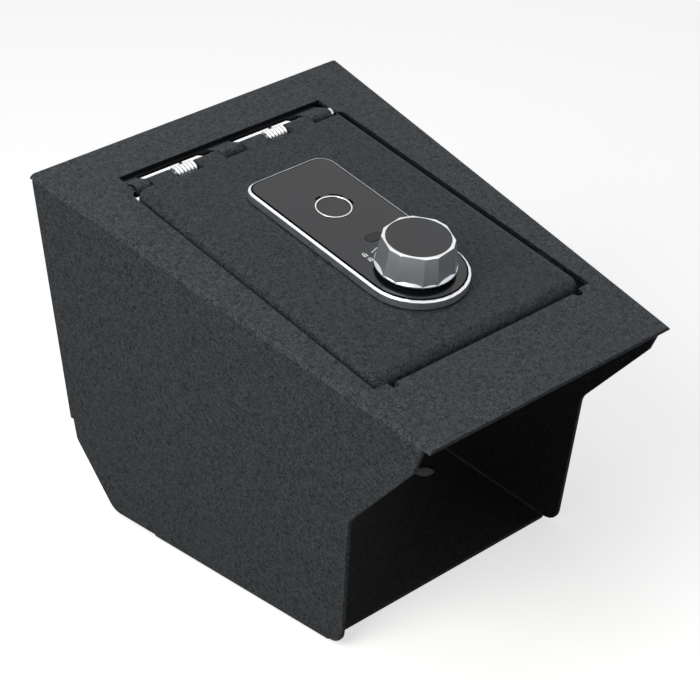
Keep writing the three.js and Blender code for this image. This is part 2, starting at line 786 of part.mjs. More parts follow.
function lockPanel() {
  const low = panelUnder - overcut;
  const high = panelTop + overcut;
  let panel = sweepUp(lockOutline(bezelRim + panelMargin), panelUnder, panelTop);
  panel = panel.subtract(rod(bushRadius + panelGap, low, high, 0, knobAlong));
  panel = panel.subtract(rod(readerRadius + panelGap, low, high, 0, readerAlong));
  return panel.subtract(sweepUp(pill(portLength, portWidth, portAlong, panelGap), low, high));
}

function fingerprintRing() {
  const inner = readerRadius - readerRing;
  const crown = panelTop + 0.3;
  const edge = readerRing / 3;
  return turned([
    [inner, readerFoot], [readerRadius, readerFoot], [readerRadius, crown - edge / 2],
    [readerRadius - edge, crown], [inner + edge, crown], [inner, crown - edge], [inner, readerFoot],
  ], 0, readerAlong, 36);
}

function fingerprintSensor() {
  return rod(readerRadius - readerRing - panelGap, readerFoot, panelTop - panelGap, 0, readerAlong, 32);
}

function portPlug() {
  return sweepUp(pill(portLength, portWidth, portAlong), readerFoot, panelTop + runningGap);
}

// Black ring on the panel, on which the knob seems to stand.
function knobSeatRing() {
  return ringRod(bushRadius + panelGap, seatRingRadius, panelTop + seatGap, knobFoot - seatGap, 36);
}

// Knob: twelve flats, six wide and six narrow, above a round foot

function knobSection(radius, height) {
  const step = 360 / flatCount;
  const points = [];
  for (let i = 0; i < flatCount; i += 1) {
    for (const angle of [flatStart + i * step, flatStart + flatAngle + i * step]) {
      const turn = THREE.MathUtils.degToRad(angle);
      points.push(new THREE.Vector3(radius * Math.cos(turn), knobAlong + radius * Math.sin(turn), height));
    }
  }
  return points;
}

function knobGrip() {
  const seat = knobTop - capThickness - seatGap;
  const edge = knobFootRing / 2;
  let grip = loft([
    knobSection(knobRadius, knobFoot + edge),
    knobSection(knobTopRadius, knobTop - knobBevel),
    knobSection(knobTopRadius - knobBevel, knobTop),
  ]);
  const ringTop = knobFoot + knobFootRing;
  grip = grip.add(turned([
    [0, knobFoot], [knobRadius - edge, knobFoot], [knobRadius, knobFoot + edge], [knobRadius, ringTop],
    [knobRadius - knobFootRing, ringTop + knobFootRing], [0, ringTop + knobFootRing],
  ], 0, knobAlong, 48));
  grip = grip.subtract(rod(capRadius, seat, knobTop + overcut, 0, knobAlong, 40));
  const bore = spindleRadius + runningGap;
  return grip.subtract(rod(bore, knobFoot - overcut, knobTop - knobBore, 0, knobAlong));
}

function knobCap() {
  return rod(capRadius - panelGap, knobTop - capThickness, knobTop - runningGap, 0, knobAlong, 40);
}

function spindleBush() {
  return ringRod(spindleRadius + runningGap, bushRadius, bushFoot, knobFoot - seatGap);
}

function spindle() {
  const shaft = rod(spindleRadius, caseBottom, knobTop - knobBore - seatGap, 0, knobAlong);
  const half = squareSize / 2;
  const plan = box2(-half, half, knobAlong - half, knobAlong + half, squareSize / 12);
  const square = sweepUp(plan, tongueBottom + runningGap, caseBottom + overcut);
  const grooveFoot = clipLow - runningGap / 2;
  const grooveTop = clipLow + clipThickness + runningGap / 2;
  const groove = ringRod(spindleRadius - clipGroove, spindleRadius + overcut, grooveFoot, grooveTop);
  const bore = rod(tongueScrewRadius + runningGap, tongueBottom - overcut, caseInside, 0, knobAlong, 14);
  return shaft.add(square).subtract(groove).subtract(bore);
}

// A flat ring about the knob's axis.
function ringRod(inner, outer, low, high, steps) {
  const outline = [[inner, low], [outer, low], [outer, high], [inner, high], [inner, low]];
  return turned(outline, 0, knobAlong, steps);
}

// Open clip that keeps the spindle from being pulled out.
function spindleClip() {
  const inner = spindleRadius - clipGroove + runningGap;
  const high = clipLow + clipThickness;
  const ring = ringRod(inner, spindleRadius + clipWidth, clipLow, high);
  const mouth = box2(-clipWidth, clipWidth, knobAlong - 2 * spindleRadius, knobAlong);
  return ring.subtract(sweepUp(mouth, clipLow - overcut, high + overcut));
}

// Latch

// The tongue steps up behind the lock case, so that its tip lies just under the front lip.
function latchTongue() {
  const hub = tongueWidth / 2 + overcut;
  const rise = -frontLipDepth - 3 * seatGap - tongueTop;
  const bend = lockHalf + tongueSheet;
  const high = tongueTop + rise;
  const low = tongueBottom + rise;
  const side = rounded([
    [hub, tongueBottom], [hub, tongueTop], [-bend, tongueTop, 1], [-bend - rise, high, 1],
    [-tongueLength, high], [-tongueLength, low], [-bend - rise - 1, low, tongueSheet],
    [-bend - 1, tongueBottom, tongueSheet],
  ], 3);
  const strip = sweepForward(side, knobAlong + hub, knobAlong - hub);
  const tip = tongueWidth / 2;
  const plan = rounded([
    [hub, knobAlong - hub, hub * 0.9], [hub, knobAlong + hub, hub * 0.9],
    [-hub, knobAlong + tip], [-tongueLength, knobAlong + tip, tip / 2],
    [-tongueLength, knobAlong - tip, tip / 2], [-hub, knobAlong - tip],
  ], 5);
  const half = squareSize / 2 + runningGap;
  const hole = box2(-half, half, knobAlong - half, knobAlong + half);
  const cut = tongueBottom - overcut;
  return strip.intersect(sweepUp(plan, cut, 0)).subtract(sweepUp(hole, cut, 0));
}

const washerTop = tongueBottom - runningGap;
const washerThickness = 1;

function tongueWasher() {
  return ringRod(tongueScrewRadius + 2 * runningGap, 6, washerTop - washerThickness, washerTop, 24);
}

function tongueScrew() {
  const seat = washerTop - washerThickness - runningGap;
  const head = rod(2.5 * tongueScrewRadius, seat - 2 * tongueScrewRadius, seat, 0, knobAlong, 6);
  const shank = rod(tongueScrewRadius, seat - overcut, caseInside - seatGap, 0, knobAlong, 14);
  return head.add(shank);
}

// The collar has a notch for the locking pin at each end of the knob's turn.
function lockingCollar() {
  const low = collarMiddle - collarThickness / 2;
  const high = collarMiddle + collarThickness / 2;
  const half = pinDiameter / 2 + seatGap;
  const reach = collarRadius - notchDepth;
  const past = collarRadius + overcut;
  const notches = [
    box2(-half, half, knobAlong + reach, knobAlong + past),
    box2(reach, past, knobAlong - half, knobAlong + half),
  ];
  let collar = ringRod(spindleRadius + runningGap, collarRadius, low, high, 36);
  for (const notch of notches) collar = collar.subtract(sweepUp(notch, low - overcut, high + overcut));
  return collar;
}

// A round bar that lies along the slope.
function alongSlope(radius, from, to, x, height, steps = 18) {
  return sweepForward(circle(radius, x, height, steps), to, from);
}

function lockingPin() {
  return alongSlope(pinDiameter / 2, pinTip, solenoidFront + pinInside, 0, collarMiddle);
}

function solenoid() {
  const half = solenoidHeight / 2;
  const body = box2(-solenoidWidth / 2, solenoidWidth / 2, collarMiddle - half, collarMiddle + half, 1);
  const shell = sweepForward(body, solenoidRear, solenoidFront);
  const bore = [solenoidFront - overcut, solenoidFront + pinInside + seatGap];
  return shell.subtract(alongSlope(pinDiameter / 2 + runningGap, ...bore, 0, collarMiddle));
}

// Lock case under the lid

function screwPlaces() {
  return screwAlong.flatMap((y) => [[-screwAcross, y], [screwAcross, y]]);
}

// The sliding door: a plate with a runner along either side.
function doorSection(grow) {
  const low = caseBottom + runningGap;
  const lip = caseBottom + doorThickness / 2;
  const half = bayHalf + bayWall + 2 * seatGap + grow;
  const runner = half + doorEdge;
  const top = low + doorThickness + grow;
  return rounded([
    [half, low - 5 * grow], [half, lip - grow], [runner, lip - grow], [runner, top],
    [-runner, top], [-runner, lip - grow], [-half, lip - grow], [-half, low - 5 * grow],
  ]);
}

// The door has two finger ribs cut across its rear end.
function batteryDoor() {
  let door = sweepForward(doorSection(0), bayRear + bayWall, bayFront - bayWall);
  for (const rib of [1, 2]) {
    const y = bayRear - 2 * doorThickness * rib;
    const groove = box2(-tongueWidth / 2, tongueWidth / 2, y, y + doorThickness * 0.75);
    door = door.subtract(sweepUp(groove, caseBottom - overcut, caseBottom + doorThickness / 2));
  }
  return door;
}

function lockCase() {
  const plan = sweepUp(lockOutline(caseInset), caseBottom, caseTop);
  const low = caseBottom - overcut;
  const foot = caseInside - overcut;
  const outer = bayHalf + bayWall;
  const bay = box2(-outer, outer, bayFront - bayWall, bayRear + bayWall);
  const seat = box2(-solenoidWidth / 2, solenoidWidth / 2, solenoidFront, solenoidRear);
  const seatTop = collarMiddle - solenoidHeight / 2 - seatGap;
  const headRoom = caseBottom + screwHeadHeight + seatGap;
  let shell = plan.subtract(sweepUp(lockOutline(caseInset + caseWall), caseInside, caseTop + overcut));
  shell = shell.add(sweepUp(bay, foot, bayTop)).add(sweepUp(seat, foot, seatTop));
  for (const [x, y] of screwPlaces()) {
    shell = shell.add(rod(postRadius, foot, caseTop, x, y, 20).intersect(plan));
  }
  for (const [x, y] of screwPlaces()) {
    shell = shell.subtract(rod(screwRadius + screwSlack, low, caseTop + overcut, x, y, 16));
    shell = shell.subtract(rod(screwHeadRadius + seatGap, low, headRoom, x, y, 20));
  }
  shell = shell.subtract(sweepUp(box2(-bayHalf, bayHalf, bayFront, bayRear), low, bayTop + overcut));
  const groove = sweepForward(doorSection(runningGap), lockRear, bayFront - bayWall - seatGap);
  const spindleHole = rod(spindleRadius + 2 * seatGap, low, caseInside + overcut, 0, knobAlong);
  return shell.subtract(groove).subtract(spindleHole);
}

function battery(x) {
  const end = cellStart + cellLength;
  const [nubRadius, nubLength] = cellNub;
  const shoulderEnd = end - nubLength;
  const profile = [
    [0, cellStart], [cellRadius, cellStart], [cellRadius, shoulderEnd],
    [nubRadius, shoulderEnd], [nubRadius, end], [0, end],
  ];
  const points = profile.map(([radius, along]) => new THREE.Vector2(radius, along));
  return solidOf(new THREE.LatheGeometry(points, 24).translate(x, 0, cellMiddle));
}

function batteryContact(along) {
  const half = bayHalf - 2 * seatGap;
  const outline = box2(-half, half, caseInside + overcut, cellMiddle + cellRadius - overcut);
  return sweepForward(outline, along + contactThickness / 2, along - contactThickness / 2);
}

function circuitBoard() {
  const half = bayHalf + bayWall;
  const low = bayTop + seatGap;
  const outline = box2(-half, half, bayFront - bayWall, bayRear + bayWall, boardThickness);
  return sweepUp(outline, low, low + boardThickness);
}

function caseScrew([x, y]) {
  const head = caseBottom + screwHeadHeight;
  const low = caseBottom + runningGap;
  const top = lidTop + screwEngagement;
  const socket = screwHeadRadius / 2;
  const edge = screwRadius / 4;
  return turned([
    [0, low + 1], [socket, low + 1], [socket, low], [screwHeadRadius - edge, low],
    [screwHeadRadius, low + edge], [screwHeadRadius, head], [screwRadius, head],
    [screwRadius, top - edge], [screwRadius - edge, top], [0, top],
  ], x, y, 20);
}

// Finishes and assembly

function finish(color, roughness, metalness) {
  return new THREE.MeshStandardMaterial({ color, roughness, metalness });
}

const finishes = {
  coated: () => finish(0x2b2d2e, 0.72, 0.1),
  steel: () => finish(0xb9bcbf, 0.32, 1.0),
  chrome: () => finish(0xd9dbde, 0.12, 1.0),
  satin: () => finish(0xc9ccd0, 0.28, 1.0),
  glass: () => finish(0x1b1d20, 0.06, 0.0),
  black: () => finish(0x17181a, 0.5, 0.0),
  rubber: () => finish(0x101112, 0.85, 0.0),
  board: () => finish(0x1f5a3a, 0.5, 0.0),
  cell: () => finish(0x3a3f45, 0.35, 0.4),
  brass: () => finish(0xb99a55, 0.35, 1.0),
};

const safe = new THREE.Group();
safe.position.y = -bodyDepth / 2;
const plate = new THREE.Group();
plate.position.z = frontHeight;
plate.rotation.x = plateSlope;
safe.add(plate);

function place(group, name, solid, look) {
  const { vertProperties, triVerts } = solid.getMesh();
  const geometry = new THREE.BufferGeometry();
  geometry.setAttribute('position', new THREE.BufferAttribute(Float32Array.from(vertProperties), 3));
  geometry.setIndex(new THREE.BufferAttribute(Uint32Array.from(triVerts), 1));
  geometry.computeVertexNormals();
  const mesh = new THREE.Mesh(geometry, finishes[look]());
  mesh.name = name;
  group.add(mesh);
}

place(safe, 'body_shell', bodyShell(), 'coated');
place(plate, 'hinge_leaf', hingeLeaf(), 'coated');
place(plate, 'hinge_pin', hingePin(), 'steel');
place(plate, 'lid_pan', lidPan(), 'coated');

const springRooms = knuckles.filter(({ kind }) => kind === 'spring');
['left', 'right'].forEach((side, i) => {
  const points = springPoints(springRooms[i]);
  console.log(`torsion_spring_${side}: least gap to itself ${wireClearance(points).toFixed(2)} mm`);
  place(plate, `torsion_spring_${side}`, wire(points, wireRadius), 'steel');
  const sign = side === 'left' ? -1 : 1;
  place(plate, `lid_stop_${side}`, lidStop(sign), 'coated');
  place(plate, `lid_bumper_${side}`, lidBumper(sign), 'rubber');
  place(plate, `battery_${side}`, battery((sign * cellSpacing) / 2), 'cell');
});

place(plate, 'bezel_gasket', bezelGasket(), 'rubber');
place(plate, 'lock_bezel', lockBezel(), 'satin');
place(plate, 'lock_panel', lockPanel(), 'glass');
place(plate, 'fingerprint_ring', fingerprintRing(), 'chrome');
place(plate, 'fingerprint_sensor', fingerprintSensor(), 'black');
place(plate, 'port_plug', portPlug(), 'rubber');
place(plate, 'knob_seat_ring', knobSeatRing(), 'black');
place(plate, 'knob_grip', knobGrip(), 'chrome');
place(plate, 'knob_cap', knobCap(), 'glass');
place(plate, 'spindle_bush', spindleBush(), 'brass');
place(plate, 'spindle', spindle(), 'steel');
place(plate, 'spindle_clip', spindleClip(), 'steel');
place(plate, 'locking_collar', lockingCollar(), 'steel');
place(plate, 'latch_tongue', latchTongue(), 'steel');
place(plate, 'tongue_washer', tongueWasher(), 'steel');
place(plate, 'tongue_screw', tongueScrew(), 'steel');
place(plate, 'locking_pin', lockingPin(), 'steel');
place(plate, 'solenoid', solenoid(), 'steel');
place(plate, 'lock_case', lockCase(), 'black');
place(plate, 'battery_door', batteryDoor(), 'black');
place(plate, 'battery_contact_front', batteryContact(cellStart - bayEnd / 2), 'steel');
place(plate, 'battery_contact_rear', batteryContact(cellStart + cellLength + bayEnd / 2), 'steel');
place(plate, 'circuit_board', circuitBoard(), 'board');
screwPlaces().forEach((at, i) => place(plate, `case_screw_${i + 1}`, caseScrew(at), 'steel'));

export default safe;
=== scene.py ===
import math

import bpy
from mathutils import Matrix, Vector


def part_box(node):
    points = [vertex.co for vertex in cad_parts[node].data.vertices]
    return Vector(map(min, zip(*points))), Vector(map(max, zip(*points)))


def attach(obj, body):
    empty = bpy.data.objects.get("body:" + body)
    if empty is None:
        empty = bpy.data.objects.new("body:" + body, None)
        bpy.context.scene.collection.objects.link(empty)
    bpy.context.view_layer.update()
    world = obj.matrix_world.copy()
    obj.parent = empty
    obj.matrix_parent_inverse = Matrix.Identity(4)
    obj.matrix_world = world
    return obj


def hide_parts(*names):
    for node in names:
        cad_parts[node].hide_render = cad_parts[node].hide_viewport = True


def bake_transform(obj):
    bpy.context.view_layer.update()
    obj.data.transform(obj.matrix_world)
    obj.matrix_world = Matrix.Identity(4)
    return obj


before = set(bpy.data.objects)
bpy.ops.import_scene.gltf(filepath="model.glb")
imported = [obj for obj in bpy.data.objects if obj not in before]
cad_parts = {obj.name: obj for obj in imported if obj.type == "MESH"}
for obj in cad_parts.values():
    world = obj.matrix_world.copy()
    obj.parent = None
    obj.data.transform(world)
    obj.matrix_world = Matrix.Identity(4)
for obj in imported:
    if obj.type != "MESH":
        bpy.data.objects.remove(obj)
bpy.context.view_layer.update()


# Camera and studio
# The safe stands on a pale floor and is seen from the front left and above, with a long lens. Soft lamps
# above and on the left light it, with a weak one in front, and the surroundings are white. Where the camera
# sees the floor it glows a little, but not under the bolt hole, which lies in the safe's shade.
MM = 0.001
CAMERA_PLACE = Vector((-515.5, -628.04, 584.7)) * MM
CAMERA_YAW = math.radians(38.97)
CAMERA_PITCH = math.radians(30.77)
CAMERA_ROLL = math.radians(-3.04)
LENS = 108.6
SENSOR = 36.0
NEAREST_SEEN = 10 * MM
LIGHT_OF_ROOM = 0.11
LAMP_AIM = Vector((0, 0, 0.08))
FLOOR_SIZE = 6.0
FLOOR_DROP = 0.2 * MM
FLOOR_COLOR = (0.8, 0.8, 0.8)
FLOOR_GLOW = 0.65
LOSS_IN_MIRROR = 0.1
LOSS_IN_BOUNCE = 0.7
HOLE_PLACE = (0.051, 0.0194, 0)
HOLE_SHADE = 15 * MM
WHITE = (1, 1, 1, 1)

camera_data = bpy.data.cameras.new("camera")
camera_data.lens = LENS
camera_data.sensor_width = SENSOR
camera_data.clip_start = NEAREST_SEEN
camera = bpy.data.objects.new("camera", camera_data)
bpy.context.scene.collection.objects.link(camera)
camera.matrix_world = (
    Matrix.Translation(CAMERA_PLACE)
    @ Matrix.Rotation(-CAMERA_YAW, 4, "Z")
    @ Matrix.Rotation(math.pi / 2 - CAMERA_PITCH, 4, "X")
    @ Matrix.Rotation(CAMERA_ROLL, 4, "Z")
)
bpy.context.scene.camera = camera
bpy.context.scene.view_settings.view_transform = "Standard"


class Wire:
    """A value on its way to a socket. Sums and products of wires add Math nodes."""

    def __init__(self, maker, socket):
        self.maker = maker
        self.socket = socket

    def __add__(self, other):
        return self.maker.math("ADD", self, other)

    def __radd__(self, other):
        return self.maker.math("ADD", other, self)

    def __sub__(self, other):
        return self.maker.math("SUBTRACT", self, other)

    def __rsub__(self, other):
        return self.maker.math("SUBTRACT", other, self)

    def __mul__(self, other):
        return self.maker.math("MULTIPLY", self, other)

    def __rmul__(self, other):
        return self.maker.math("MULTIPLY", other, self)


class Finish:
    """A finish as a node tree: constants sit on the shader's sockets, the rest is wired to them."""

    def __init__(self, tree):
        self.tree = tree

    def node(self, kind, settings=None, inputs=None, output=0):
        """Adds a node with its settings and the values or wires of its sockets, and gives an output."""
        made = self.tree.nodes.new(kind)
        for name, value in (settings or {}).items():
            setattr(made, name, value)
        for name, value in (inputs or {}).items():
            self.join(value, made.inputs[name])
        return Wire(self, made.outputs[output]) if made.outputs else None

    def join(self, value, socket):
        if isinstance(value, Wire):
            self.tree.links.new(value.socket, socket)
        else:
            socket.default_value = value

    def math(self, operation, first, second):
        return self.node("ShaderNodeMath", {"operation": operation}, {0: first, 1: second})


def new_finish(name):
    """A fresh material, its node tree cleared, and the maker that fills it."""
    material = bpy.data.materials.new(name)
    material.use_nodes = True
    material.node_tree.nodes.clear()
    return material, Finish(material.node_tree)


def own_place(maker):
    """The place on the piece itself."""
    return maker.node("ShaderNodeTexCoord", output="Object")


def met_by(maker, kind):
    """One for light rays of a kind, such as those from the camera, and nought for the others."""
    return maker.node("ShaderNodeLightPath", output="Is %s Ray" % kind)


def tinted(maker, color, factor):
    """A colour made darker or lighter by a varying factor."""
    return maker.node("ShaderNodeVectorMath", {"operation": "SCALE"}, {0: color, "Scale": factor})


def lamp(name, place, size, watts, color):
    """A square soft lamp that faces the safe."""
    data = bpy.data.lights.new(name, "AREA")
    data.shape = "SQUARE"
    data.size = size
    data.energy = watts
    data.color = color
    made = bpy.data.objects.new(name, data)
    bpy.context.scene.collection.objects.link(made)
    made.location = place
    aim = LAMP_AIM - Vector(place)
    made.rotation_euler = aim.to_track_quat("-Z", "Y").to_euler()


world = bpy.data.worlds.new("white surroundings")
bpy.context.scene.world = world
world.use_nodes = True
world.node_tree.nodes.clear()
sky = Finish(world.node_tree)
seen = sky.math("MAXIMUM", met_by(sky, "Camera"), met_by(sky, "Glossy"))
seen = sky.math("MAXIMUM", seen, met_by(sky, "Transmission"))
strength = LIGHT_OF_ROOM + (1.0 - LIGHT_OF_ROOM) * seen
backdrop = sky.node("ShaderNodeBackground", None, {"Color": WHITE, "Strength": strength})
sky.node("ShaderNodeOutputWorld", None, {"Surface": backdrop})

lamp("lamp above", place=(-0.2, 0.3, 1.6), size=1.2, watts=5.0, color=(0.94, 0.98, 1.0))
lamp("lamp left", place=(-0.75, -0.15, 0.76), size=0.6, watts=5.3, color=(1.0, 0.99, 0.94))
lamp("lamp front", place=(0.3, -1.3, 0.8), size=0.8, watts=0.7, color=(1.0, 1.0, 1.0))

bpy.ops.object.select_all(action="DESELECT")
bpy.ops.mesh.primitive_plane_add(size=FLOOR_SIZE, location=(0, 0, -FLOOR_DROP))
floor = bpy.context.object
floor.name = "floor"
floor_finish, paint = new_finish("pale floor")
kept_light = 1.0 - LOSS_IN_MIRROR * met_by(paint, "Glossy") - LOSS_IN_BOUNCE * met_by(paint, "Diffuse")
matt = paint.node("ShaderNodeBsdfDiffuse", None, {"Color": tinted(paint, FLOOR_COLOR, kept_light)})
ends = {0: own_place(paint), 1: HOLE_PLACE}
from_hole = paint.node("ShaderNodeVectorMath", {"operation": "DISTANCE"}, ends, "Value")
glow = FLOOR_GLOW * met_by(paint, "Camera") * paint.math("GREATER_THAN", from_hole, HOLE_SHADE)
lift = paint.node("ShaderNodeEmission", None, {"Color": WHITE, "Strength": glow})
both = paint.node("ShaderNodeAddShader", None, {0: matt, 1: lift})
paint.node("ShaderNodeOutputMaterial", None, {"Surface": both})
floor.data.materials.append(floor_finish)


# Body shell
# One sheet of 2 mm steel, cut, folded into a tube that is wide behind and narrow in front, and welded along
# a seam in the floor. It is coated in black wrinkle powder, a half-matt skin with worm-like bumps one to two
# millimetres long. Their tops are painted lighter and the hollows darker, a painted highlight and painted
# shade that make grey flecks. The coat on the inner faces is painted darker, as painted shade inside the
# tube.
COAT_COLOR = (0.050, 0.055, 0.062)
COAT_ROUGHNESS = (0.47, 0.65)
COAT_SHINE = 0.15
COAT_HEIGHTS = (0.55, 0.85)
BUMP_PAINTED_LIGHT = (0.3, 1.95)
INSIDE_PAINTED_SHADE = 0.3
WRINKLE = 1.6 * MM
WRINKLE_DEPTH = 0.35 * MM
GRAIN = 0.7 * MM
GRAIN_SHARE = 0.4
NOISE_RANGE = (0.3, 0.7)
SHEET_EDGE = 0.2
SAME_CORNER = 0.02 * MM
SAME_FACE = math.radians(1)
ROUNDING_STEPS = 2
FRONT_HEIGHT = 134.8
PLATE_SLOPE = math.radians(10.43)
TUBE_MIDDLE = 70 * MM
TOWARDS = 0.25
plate_place = Matrix.Translation((0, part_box("body_shell")[0].y, FRONT_HEIGHT * MM))
plate_frame = plate_place @ Matrix.Rotation(PLATE_SLOPE, 4, "X")


def shader(maker, **sockets):
    """The principled shader on the output. Words with _ stand for the sockets' names with spaces."""
    inputs = {name.replace("_", " "): value for name, value in sockets.items()}
    lit = maker.node("ShaderNodeBsdfPrincipled", None, inputs)
    maker.node("ShaderNodeOutputMaterial", None, {"Surface": lit})


def noise(maker, place, size, detail=2.0, rough=0.5, stretch=0.0):
    """Noise with bumps of about a size in metres."""
    sockets = {"Vector": place, "Scale": 1 / size, "Detail": detail, "Roughness": rough}
    return maker.node("ShaderNodeTexNoise", None, {**sockets, "Distortion": stretch})


def bump(maker, height, distance):
    return maker.node("ShaderNodeBump", None, {"Height": height, "Distance": distance})


def ranged(maker, value, low, high, to_low, to_high):
    """Maps a value's range onto another and stops at its ends."""
    sockets = {"Value": value, 1: low, 2: high, 3: to_low, 4: to_high}
    return maker.node("ShaderNodeMapRange", None, sockets)


def varied(maker, cloud, least, most):
    """Maps the range in which noise mostly lies onto another."""
    return ranged(maker, cloud, *NOISE_RANGE, least, most)


def powder_coat(name, tone=1.0):
    """Black wrinkle powder with a painted highlight on its bumps and painted shade between them."""
    material, maker = new_finish(name)
    place = own_place(maker)
    worms = noise(maker, place, WRINKLE, rough=0.6, stretch=1.5)
    grain = noise(maker, place, GRAIN, detail=1.0)
    height = worms + GRAIN_SHARE * grain
    # The colour follows the bumps' height: painted highlight on the tops, painted shade in the hollows.
    darkest, lightest = BUMP_PAINTED_LIGHT
    shade = ranged(maker, height, *COAT_HEIGHTS, darkest * tone, lightest * tone)
    shader(
        maker,
        Base_Color=tinted(maker, COAT_COLOR, shade),
        Roughness=varied(maker, grain, *COAT_ROUGHNESS),
        Specular_IOR_Level=COAT_SHINE,
        Normal=bump(maker, height, WRINKLE_DEPTH),
    )
    return material


def take(piece):
    """Makes a piece the only selected and the active one."""
    bpy.ops.object.select_all(action="DESELECT")
    piece.select_set(True)
    bpy.context.view_layer.objects.active = piece


def finished(piece, body, slot, finish, *nodes):
    """Gives a piece its finish, the body that it moves with and the CAD nodes that it stands for."""
    piece.data.materials.clear()
    piece.data.materials.append(finish)
    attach(piece, body)
    if nodes:
        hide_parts(*nodes)
    return piece


def dressed(node, body, slot, finish, edge, smooth=35):
    """Shows a CAD node's own shape: its triangles joined, its edges rounded, its curves smooth.

    The rounding is in millimetres. Faces that meet at more than the smooth angle, in degrees, have an edge.
    """
    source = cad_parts[node]
    piece = source.copy()
    piece.data = source.data.copy()
    piece.name = node + "_shown"
    piece.parent = None
    piece.matrix_world = source.matrix_world
    bpy.context.scene.collection.objects.link(piece)
    take(piece)
    bpy.ops.object.mode_set(mode="EDIT")
    bpy.ops.mesh.customdata_custom_splitnormals_clear()
    bpy.ops.mesh.select_all(action="SELECT")
    bpy.ops.mesh.remove_doubles(threshold=SAME_CORNER)
    bpy.ops.mesh.dissolve_limited(angle_limit=SAME_FACE)
    bpy.ops.object.mode_set(mode="OBJECT")
    rounding = piece.modifiers.new("rounded edges", "BEVEL")
    rounding.width = edge * MM
    rounding.segments = ROUNDING_STEPS
    rounding.limit_method = "ANGLE"
    rounding.angle_limit = math.radians(smooth)
    rounding.use_clamp_overlap = False
    bpy.ops.object.modifier_apply(modifier=rounding.name)
    bpy.ops.object.shade_smooth_by_angle(angle=math.radians(smooth))
    piece.modifiers.new("flat faces", "WEIGHTED_NORMAL").keep_sharp = True
    bpy.ops.object.modifier_apply(modifier="flat faces")
    return finished(piece, body, slot, finish, node)


def on_plate(x, along, height):
    """A point given in millimetres across the plate, along its slope and above its top face."""
    return plate_frame @ (Vector((x, along, height)) * MM)


def in_plate(place):
    """Millimetres across the plate, along its slope and above its top face."""
    return (plate_frame.inverted() @ place) / MM


def second_finish(piece, finish, chosen):
    """Gives another finish to the faces that a rule picks by their place and normal in the plate's frame."""
    turn = plate_frame.to_3x3().inverted()
    piece.data.materials.append(finish)
    for face in piece.data.polygons:
        if chosen(in_plate(face.center), turn @ face.normal):
            face.material_index = len(piece.data.materials) - 1


def facing_middle(place, normal):
    """The faces that look at the middle line of the tube."""
    spot = on_plate(*place)
    inward = Vector((-spot.x, 0, TUBE_MIDDLE - spot.z)).normalized()
    return (plate_frame.to_3x3() @ normal).dot(inward) > TOWARDS


coat = powder_coat("wrinkle powder coat")
shell = dressed("body_shell", "body", "coated", coat, edge=SHEET_EDGE)
# The faces inside the tube get the coat painted darker, as painted shade.
second_finish(shell, powder_coat("inner coat with painted shade", INSIDE_PAINTED_SHADE), facing_middle)


# Lid stops and bumpers
# Two bent tabs, welded under the plate beside the opening, each with a glued rubber pad on which the
# lid's rim comes to rest. The pads are moulded and have a matt skin with a fine grain.
RUBBER_COLOR = (0.012, 0.012, 0.013)
MOULDED_CLOUD = 12 * MM
MOULDED_TONES = (0.85, 1.15)
MOULDED_SPREAD = 0.06


def moulded(name, color, roughness, grain, depth, gloss=0.5):
    """A matt moulded skin. Its grain has a size and a depth in millimetres."""
    material, maker = new_finish(name)
    place = own_place(maker)
    skin = noise(maker, place, grain * MM)
    cloud = noise(maker, place, MOULDED_CLOUD)
    shader(
        maker,
        Base_Color=tinted(maker, color, varied(maker, cloud, *MOULDED_TONES)),
        Roughness=varied(maker, skin, roughness - MOULDED_SPREAD, roughness + MOULDED_SPREAD),
        Specular_IOR_Level=gloss,
        Normal=bump(maker, skin, depth * MM),
    )
    return material


rubber = moulded("rubber", RUBBER_COLOR, roughness=0.7, grain=0.5, depth=0.02)
for side in ("left", "right"):
    dressed("lid_stop_" + side, "body", "coated", coat, edge=SHEET_EDGE)
    dressed("lid_bumper_" + side, "body", "rubber", rubber, edge=0.2)


# Hinge leaf
# A strip of 1.5 mm steel welded under the plate. Three straps rise from it and curl round the pin. The
# strip itself and the opening's rear edge above it are painted near black, as painted shade of the dark
# gap behind the lid.
LEAF_PAINTED_SHADE = (0.010, 0.011, 0.013)
LEAF_DEPTH = -1.4
REAR_EDGE = (200, 225)
REAR_EDGE_DEPTH = -3
REAR_EDGE_FACING = -0.5


def under_plate(place, normal):
    """The strip itself and the lower ends of its straps."""
    return place.z < LEAF_DEPTH


def rear_edge(place, normal):
    """The cut edge of the opening behind the lid."""
    start, end = REAR_EDGE
    return normal.y < REAR_EDGE_FACING and start < place.y < end and place.z > REAR_EDGE_DEPTH


# Near black painted shade for the strip under the plate and for the opening's rear edge.
painted_shade_coat = moulded("painted shade coat", LEAF_PAINTED_SHADE, roughness=0.6, grain=1.1, depth=0.05, gloss=0.1)
leaf = dressed("hinge_leaf", "body", "coated", coat, edge=0.2, smooth=30)
second_finish(leaf, painted_shade_coat, under_plate)
second_finish(shell, painted_shade_coat, rear_edge)


# Lid
# A pressed pan of 2 mm steel with rolled edges. Its rear edge has notches for the springs and for the
# frame's knuckles, and between them the sheet runs on and curls round the pin. Its coat is a little darker.
LID_TONE = 0.76
lid_coat = powder_coat("lid powder coat", LID_TONE)
dressed("lid_pan", "lid", "coated", lid_coat, edge=0.25, smooth=30)


# Hinge pin
# A bright drawn steel rod, 3.2 mm thick, with a flat head on the right, from where it is pushed through all
# the knuckles. Handling leaves a faint haze on it.
STEEL_COLOR = (0.66, 0.67, 0.68)
HAZE = 6 * MM
METAL_TONES = (0.94, 1.04)
SCRATCHES_IN_HAZE = 20


